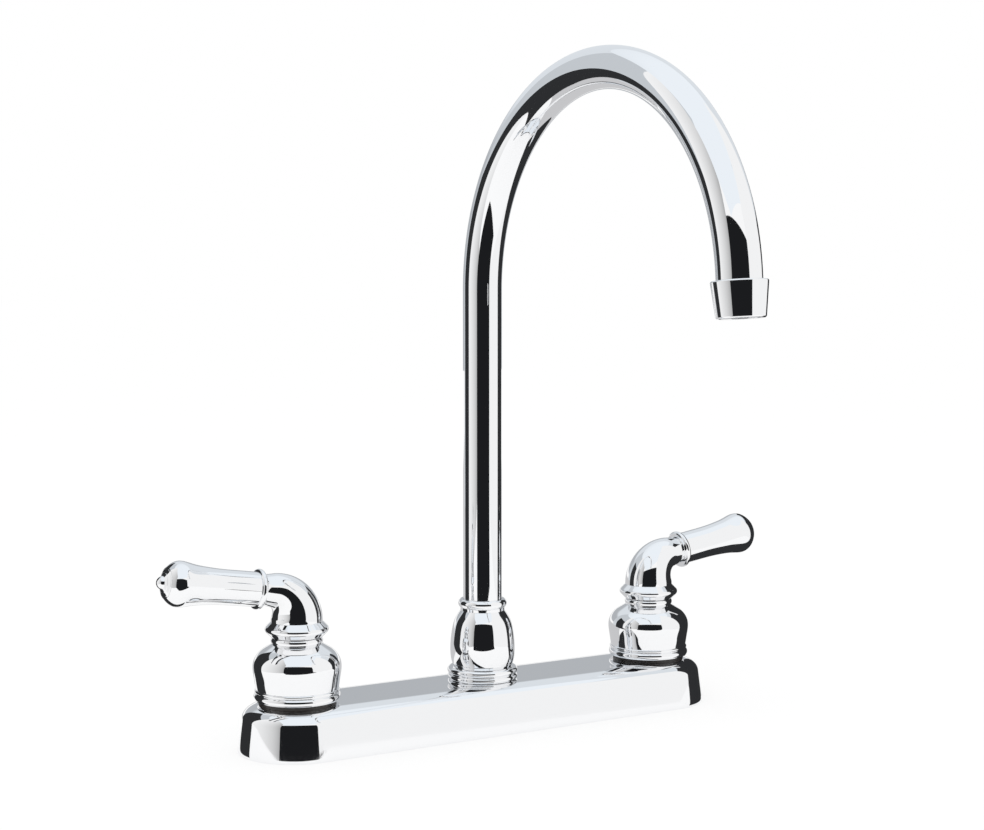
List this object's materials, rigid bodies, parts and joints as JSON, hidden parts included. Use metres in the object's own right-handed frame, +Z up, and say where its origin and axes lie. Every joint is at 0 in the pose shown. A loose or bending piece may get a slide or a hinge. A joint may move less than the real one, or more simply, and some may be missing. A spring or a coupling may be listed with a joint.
{
  "type": "two handle kitchen faucet",
  "caption": "Deck mounted kitchen faucet with a high arc swivel spout, bell shaped valve covers and flared quarter turn lever handles.",
  "frame": {"origin": "middle of the deck plate's underside, on the spout's swivel axis; the sink's top is the plane z = 0", "axes": "+Z up along the spout's swivel axis; +X along the deck plate towards the cold handle; -Y towards the user, the way the spout points at rest"},
  "size_m": [0.3416, 0.2376, 0.3748],
  "materials": {
    "chrome": "polished chrome plate on cast and turned pieces",
    "tube_chrome": "polished chrome plate on bent tube",
    "plate_chrome": "polished chrome plate on the deck cover",
    "brass": "machined, unplated",
    "copper": "drawn copper pipe",
    "steel": "stainless, plain",
    "rubber": "moulded, satin black",
    "foam": "closed cell foam, dark grey",
    "nylon": "natural nylon",
    "nut_plastic": "moulded white plastic, fine grain",
    "jet_plastic": "moulded light grey plastic",
    "ceramic": "lapped alumina ceramic"
  },
  "bodies": {
    "base": {"deck_plate": "plate_chrome", "deck_gasket": "foam", "centre_body": "brass", "spout_base_ring": "chrome", "spout_nut": "chrome", "bearing_washer": "nylon", "hot_valve_body": "brass", "hot_crossover_tube": "copper", "hot_locknut_washer": "steel", "hot_locknut": "nut_plastic", "hot_seat_seal": "rubber", "hot_fixed_disc": "ceramic", "hot_cartridge_body": "brass", "hot_bell_gasket": "rubber", "hot_bell": "chrome", "cold_valve_body": "brass", "cold_crossover_tube": "copper", "cold_locknut_washer": "steel", "cold_locknut": "nut_plastic", "cold_seat_seal": "rubber", "cold_fixed_disc": "ceramic", "cold_cartridge_body": "brass", "cold_bell_gasket": "rubber", "cold_bell": "chrome"},
    "spout": {"spout_stem": "brass", "spout_o_rings": "rubber", "retaining_ring": "steel", "spout_tube": "tube_chrome", "aerator_adapter": "brass", "aerator_housing": "chrome", "aerator_washer": "rubber", "aerator_insert": "jet_plastic", "aerator_screen": "steel"},
    "hot_handle": {"hot_moving_disc": "ceramic", "hot_stem": "brass", "hot_stem_o_ring": "rubber", "hot_handle_hub": "chrome", "hot_set_screw": "steel", "hot_lever_collar": "chrome", "hot_lever": "chrome", "hot_lever_stud": "steel", "hot_lever_button": "chrome"},
    "cold_handle": {"cold_moving_disc": "ceramic", "cold_stem": "brass", "cold_stem_o_ring": "rubber", "cold_handle_hub": "chrome", "cold_set_screw": "steel", "cold_lever_collar": "chrome", "cold_lever": "chrome", "cold_lever_stud": "steel", "cold_lever_button": "chrome"}
  },
  "joints": [
    {"name": "spout_swivel", "type": "hinge", "parent": "base", "child": "spout", "pos_m": [0, 0, 0.04], "axis": [0, 0, 1], "continuous": true},
    {"name": "hot_turn", "type": "hinge", "parent": "base", "child": "hot_handle", "pos_m": [-0.1016, 0, 0.04], "axis": [0, 0, 1], "range_deg": [0, 90]},
    {"name": "cold_turn", "type": "hinge", "parent": "base", "child": "cold_handle", "pos_m": [0.1016, 0, 0.04], "axis": [0, 0, 1], "range_deg": [-90, 0]}
  ]
}
